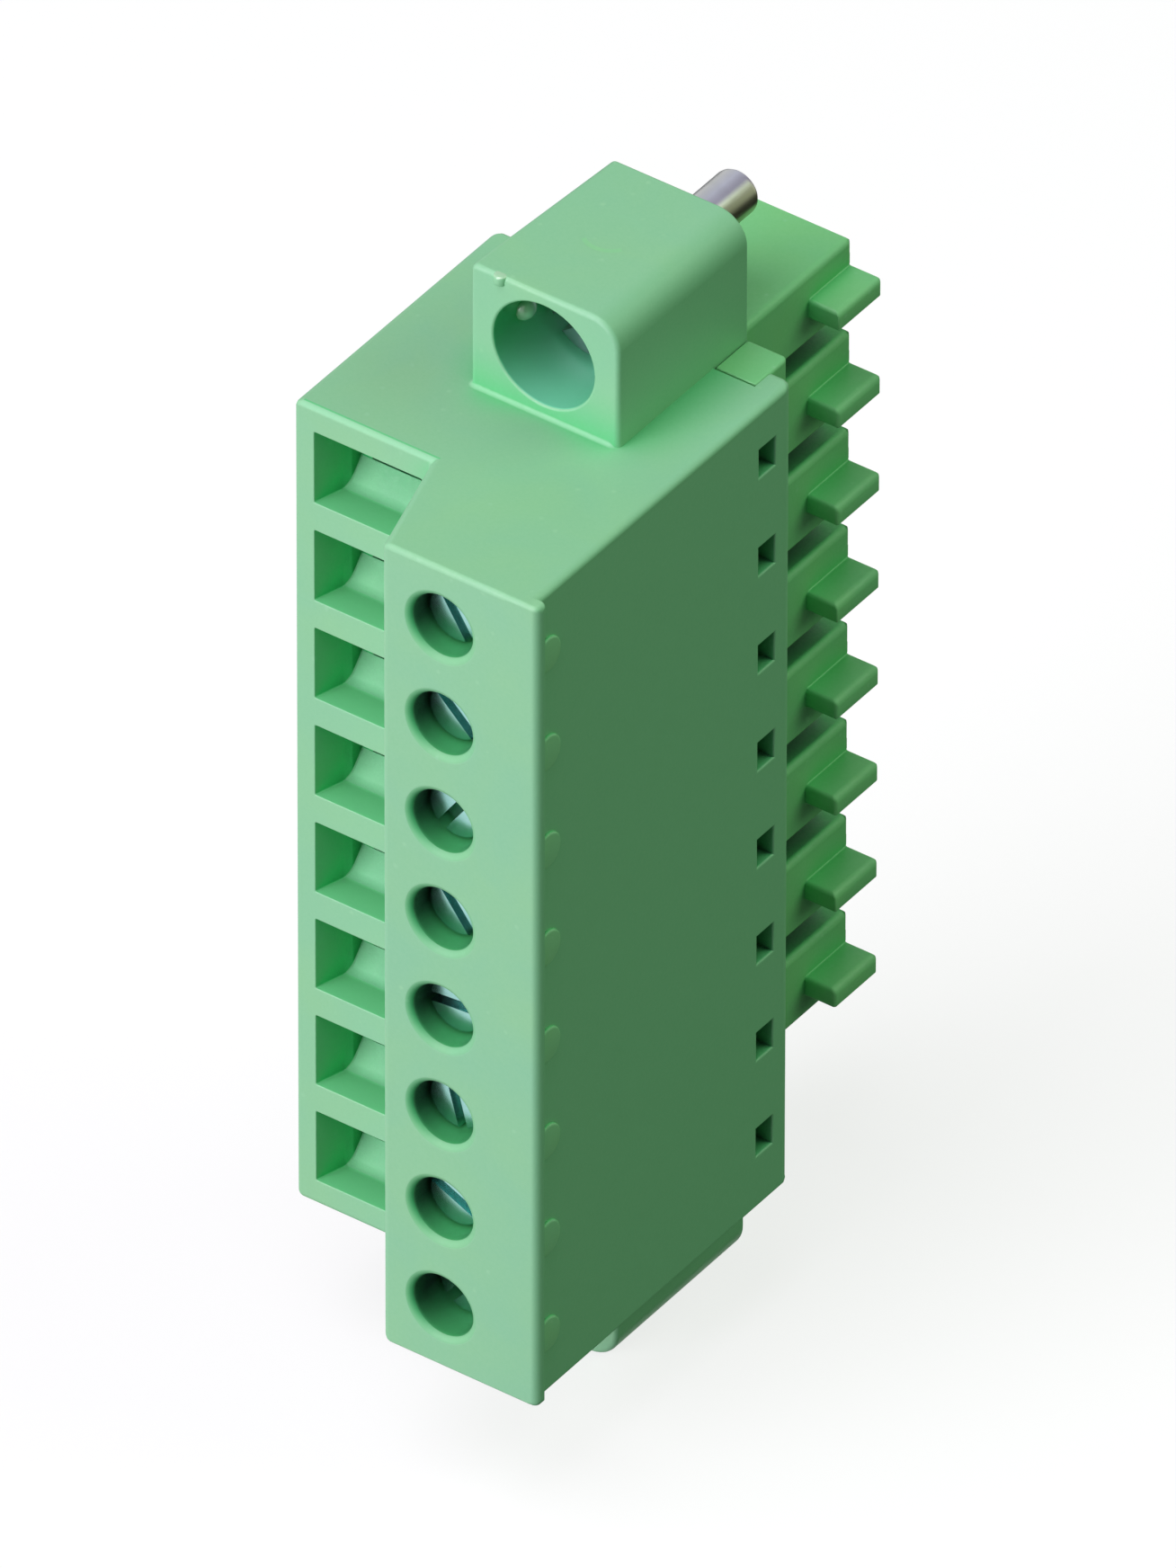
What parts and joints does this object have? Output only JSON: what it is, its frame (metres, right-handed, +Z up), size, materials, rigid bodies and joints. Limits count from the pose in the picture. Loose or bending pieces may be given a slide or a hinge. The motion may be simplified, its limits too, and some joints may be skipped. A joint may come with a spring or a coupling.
{
  "type": "terminal block",
  "caption": "Pluggable terminal block with a row of front screws over wire funnels, a ribbed plug side and a screw flange at each end.",
  "frame": {"origin": "under the middle of the part, level with the foot of the lower flange", "axes": "+X across the row towards the plain side with the latch windows, +Y from the screw face towards the plug, +Z up along the row"},
  "size_m": [0.0122, 0.0218, 0.0407],
  "materials": {
    "housing_plastic": "satin moulded green",
    "plug_plastic": "satin moulded green",
    "zinc_steel": "bluish zinc plate",
    "clamp_steel": "plain zinc plate",
    "tinned_copper": "tin plated copper alloy"
  },
  "bodies": {
    "block": {"front_housing": "housing_plastic", "plug_body": "plug_plastic", "clamp_cage_1": "clamp_steel", "clamp_cage_2": "clamp_steel", "clamp_cage_3": "clamp_steel", "clamp_cage_4": "clamp_steel", "clamp_cage_5": "clamp_steel", "clamp_cage_6": "clamp_steel", "clamp_cage_7": "clamp_steel", "clamp_cage_8": "clamp_steel", "contact_1": "tinned_copper", "contact_2": "tinned_copper", "contact_3": "tinned_copper", "contact_4": "tinned_copper", "contact_5": "tinned_copper", "contact_6": "tinned_copper", "contact_7": "tinned_copper", "contact_8": "tinned_copper"},
    "wedge_1": {"clamp_wedge_1": "clamp_steel"},
    "jaw_1": {"clamp_jaw_1": "clamp_steel"},
    "screw_1": {"clamp_screw_1": "zinc_steel"},
    "wedge_2": {"clamp_wedge_2": "clamp_steel"},
    "jaw_2": {"clamp_jaw_2": "clamp_steel"},
    "screw_2": {"clamp_screw_2": "zinc_steel"},
    "wedge_3": {"clamp_wedge_3": "clamp_steel"},
    "jaw_3": {"clamp_jaw_3": "clamp_steel"},
    "screw_3": {"clamp_screw_3": "zinc_steel"},
    "wedge_4": {"clamp_wedge_4": "clamp_steel"},
    "jaw_4": {"clamp_jaw_4": "clamp_steel"},
    "screw_4": {"clamp_screw_4": "zinc_steel"},
    "wedge_5": {"clamp_wedge_5": "clamp_steel"},
    "jaw_5": {"clamp_jaw_5": "clamp_steel"},
    "screw_5": {"clamp_screw_5": "zinc_steel"},
    "wedge_6": {"clamp_wedge_6": "clamp_steel"},
    "jaw_6": {"clamp_jaw_6": "clamp_steel"},
    "screw_6": {"clamp_screw_6": "zinc_steel"},
    "wedge_7": {"clamp_wedge_7": "clamp_steel"},
    "jaw_7": {"clamp_jaw_7": "clamp_steel"},
    "screw_7": {"clamp_screw_7": "zinc_steel"},
    "wedge_8": {"clamp_wedge_8": "clamp_steel"},
    "jaw_8": {"clamp_jaw_8": "clamp_steel"},
    "screw_8": {"clamp_screw_8": "zinc_steel"},
    "bolt_upper": {"flange_screw_upper": "zinc_steel"},
    "bolt_lower": {"flange_screw_lower": "zinc_steel"}
  },
  "joints": [
    {"name": "wedge_1_slide", "type": "slide", "parent": "block", "child": "wedge_1", "axis": [0, 1, 0], "range_m": [0, 0.0014]},
    {"name": "jaw_1_slide", "type": "slide", "parent": "block", "child": "jaw_1", "axis": [-1, 0, 0], "range_m": [0, 0.0014]},
    {"name": "screw_1_turn", "type": "hinge", "parent": "wedge_1", "child": "screw_1", "pos_m": [0.00244, -0.00894, 0.0337], "axis": [0, 1, 0], "range_deg": [0, 1260]},
    {"name": "wedge_2_slide", "type": "slide", "parent": "block", "child": "wedge_2", "axis": [0, 1, 0], "range_m": [0, 0.0014]},
    {"name": "jaw_2_slide", "type": "slide", "parent": "block", "child": "jaw_2", "axis": [-1, 0, 0], "range_m": [0, 0.0014]},
    {"name": "screw_2_turn", "type": "hinge", "parent": "wedge_2", "child": "screw_2", "pos_m": [0.00244, -0.00894, 0.0299], "axis": [0, 1, 0], "range_deg": [0, 1260]},
    {"name": "wedge_3_slide", "type": "slide", "parent": "block", "child": "wedge_3", "axis": [0, 1, 0], "range_m": [0, 0.0014]},
    {"name": "jaw_3_slide", "type": "slide", "parent": "block", "child": "jaw_3", "axis": [-1, 0, 0], "range_m": [0, 0.0014]},
    {"name": "screw_3_turn", "type": "hinge", "parent": "wedge_3", "child": "screw_3", "pos_m": [0.00244, -0.00894, 0.02609], "axis": [0, 1, 0], "range_deg": [0, 1260]},
    {"name": "wedge_4_slide", "type": "slide", "parent": "block", "child": "wedge_4", "axis": [0, 1, 0], "range_m": [0, 0.0014]},
    {"name": "jaw_4_slide", "type": "slide", "parent": "block", "child": "jaw_4", "axis": [-1, 0, 0], "range_m": [0, 0.0014]},
    {"name": "screw_4_turn", "type": "hinge", "parent": "wedge_4", "child": "screw_4", "pos_m": [0.00244, -0.00894, 0.02227], "axis": [0, 1, 0], "range_deg": [0, 1260]},
    {"name": "wedge_5_slide", "type": "slide", "parent": "block", "child": "wedge_5", "axis": [0, 1, 0], "range_m": [0, 0.0014]},
    {"name": "jaw_5_slide", "type": "slide", "parent": "block", "child": "jaw_5", "axis": [-1, 0, 0], "range_m": [0, 0.0014]},
    {"name": "screw_5_turn", "type": "hinge", "parent": "wedge_5", "child": "screw_5", "pos_m": [0.00244, -0.00894, 0.01846], "axis": [0, 1, 0], "range_deg": [0, 1260]},
    {"name": "wedge_6_slide", "type": "slide", "parent": "block", "child": "wedge_6", "axis": [0, 1, 0], "range_m": [0, 0.0014]},
    {"name": "jaw_6_slide", "type": "slide", "parent": "block", "child": "jaw_6", "axis": [-1, 0, 0], "range_m": [0, 0.0014]},
    {"name": "screw_6_turn", "type": "hinge", "parent": "wedge_6", "child": "screw_6", "pos_m": [0.00244, -0.00894, 0.01465], "axis": [0, 1, 0], "range_deg": [0, 1260]},
    {"name": "wedge_7_slide", "type": "slide", "parent": "block", "child": "wedge_7", "axis": [0, 1, 0], "range_m": [0, 0.0014]},
    {"name": "jaw_7_slide", "type": "slide", "parent": "block", "child": "jaw_7", "axis": [-1, 0, 0], "range_m": [0, 0.0014]},
    {"name": "screw_7_turn", "type": "hinge", "parent": "wedge_7", "child": "screw_7", "pos_m": [0.00244, -0.00894, 0.01085], "axis": [0, 1, 0], "range_deg": [0, 1260]},
    {"name": "wedge_8_slide", "type": "slide", "parent": "block", "child": "wedge_8", "axis": [0, 1, 0], "range_m": [-0.0005, 0.0009]},
    {"name": "jaw_8_slide", "type": "slide", "parent": "block", "child": "jaw_8", "axis": [-1, 0, 0], "range_m": [-0.0005, 0.0009]},
    {"name": "screw_8_turn", "type": "hinge", "parent": "wedge_8", "child": "screw_8", "pos_m": [0.00244, -0.00894, 0.00703], "axis": [0, 1, 0], "range_deg": [-450, 810]},
    {"name": "bolt_upper_turn", "type": "hinge", "parent": "block", "child": "bolt_upper", "pos_m": [0.00059, 0.00392, 0.03838], "axis": [0, 1, 0], "continuous": true},
    {"name": "bolt_lower_turn", "type": "hinge", "parent": "block", "child": "bolt_lower", "pos_m": [0.00059, 0.00392, 0.00236], "axis": [0, 1, 0], "continuous": true}
  ],
  "couplings": [
    {"joint": "screw_1_turn", "follows": "wedge_1_slide", "rad_per_m": 15708},
    {"joint": "jaw_1_slide", "follows": "wedge_1_slide", "ratio": 1},
    {"joint": "screw_2_turn", "follows": "wedge_2_slide", "rad_per_m": 15708},
    {"joint": "jaw_2_slide", "follows": "wedge_2_slide", "ratio": 1},
    {"joint": "screw_3_turn", "follows": "wedge_3_slide", "rad_per_m": 15708},
    {"joint": "jaw_3_slide", "follows": "wedge_3_slide", "ratio": 1},
    {"joint": "screw_4_turn", "follows": "wedge_4_slide", "rad_per_m": 15708},
    {"joint": "jaw_4_slide", "follows": "wedge_4_slide", "ratio": 1},
    {"joint": "screw_5_turn", "follows": "wedge_5_slide", "rad_per_m": 15708},
    {"joint": "jaw_5_slide", "follows": "wedge_5_slide", "ratio": 1},
    {"joint": "screw_6_turn", "follows": "wedge_6_slide", "rad_per_m": 15708},
    {"joint": "jaw_6_slide", "follows": "wedge_6_slide", "ratio": 1},
    {"joint": "screw_7_turn", "follows": "wedge_7_slide", "rad_per_m": 15708},
    {"joint": "jaw_7_slide", "follows": "wedge_7_slide", "ratio": 1},
    {"joint": "screw_8_turn", "follows": "wedge_8_slide", "rad_per_m": 15708},
    {"joint": "jaw_8_slide", "follows": "wedge_8_slide", "ratio": 1}
  ]
}
